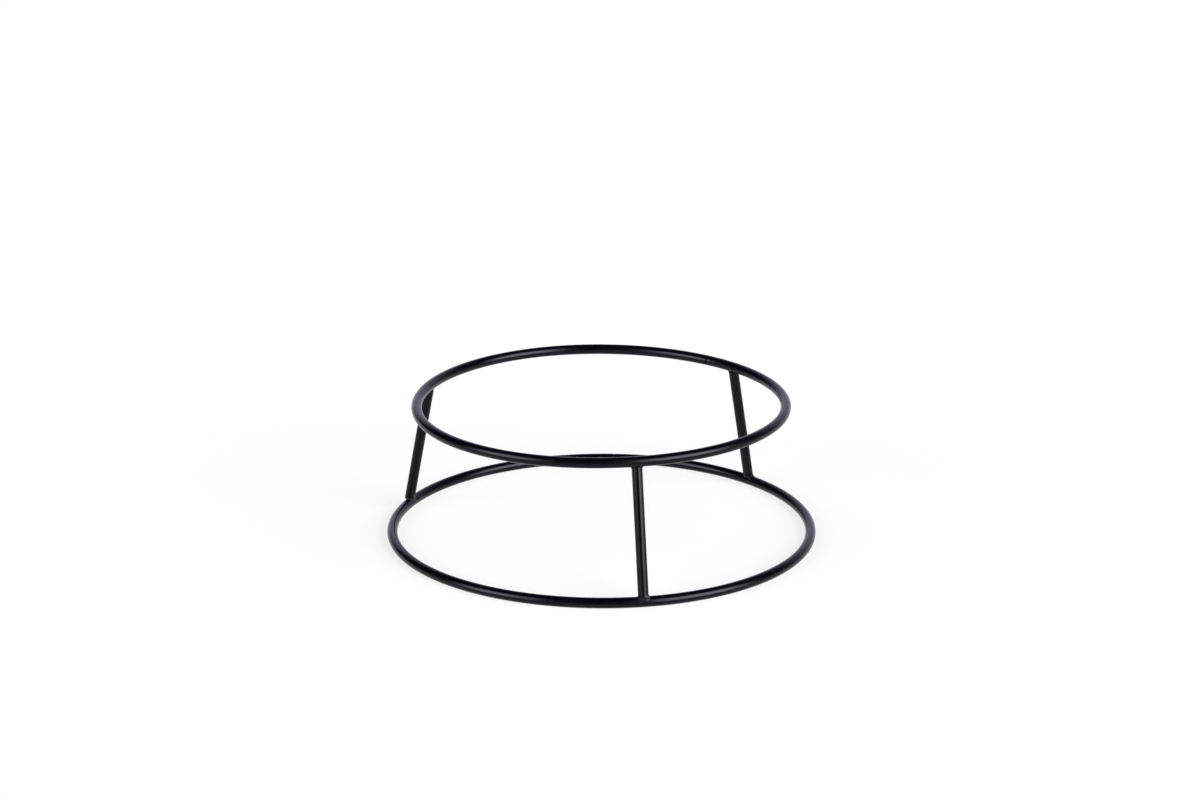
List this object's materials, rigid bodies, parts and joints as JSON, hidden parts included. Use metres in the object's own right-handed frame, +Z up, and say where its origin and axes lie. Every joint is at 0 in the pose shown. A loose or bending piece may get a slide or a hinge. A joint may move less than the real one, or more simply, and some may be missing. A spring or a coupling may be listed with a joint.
{
  "type": "plant stand",
  "caption": "Low round plant stand of black powder-coated steel wire: splayed legs hold a smaller ring above a larger floor ring, all welded.",
  "frame": {"origin": "on the floor under the centre of the two rings", "axes": "+Z up, -Y towards the front leg, +X to the right seen from the front"},
  "size_m": [0.23, 0.23, 0.075],
  "materials": {
    "coated_wire": "satin black powder coat",
    "coated_weld": "satin black powder coat over a rough weld"
  },
  "bodies": {
    "root": {"top_ring": "coated_wire", "top_ring_butt_weld": "coated_weld", "base_ring": "coated_wire", "base_ring_butt_weld": "coated_weld", "leg_front": "coated_wire", "leg_rear_right": "coated_wire", "leg_rear_left": "coated_wire", "weld_base_front": "coated_weld", "weld_base_rear_right": "coated_weld", "weld_base_rear_left": "coated_weld", "weld_top_front": "coated_weld", "weld_top_rear_right": "coated_weld", "weld_top_rear_left": "coated_weld"}
  },
  "joints": []
}
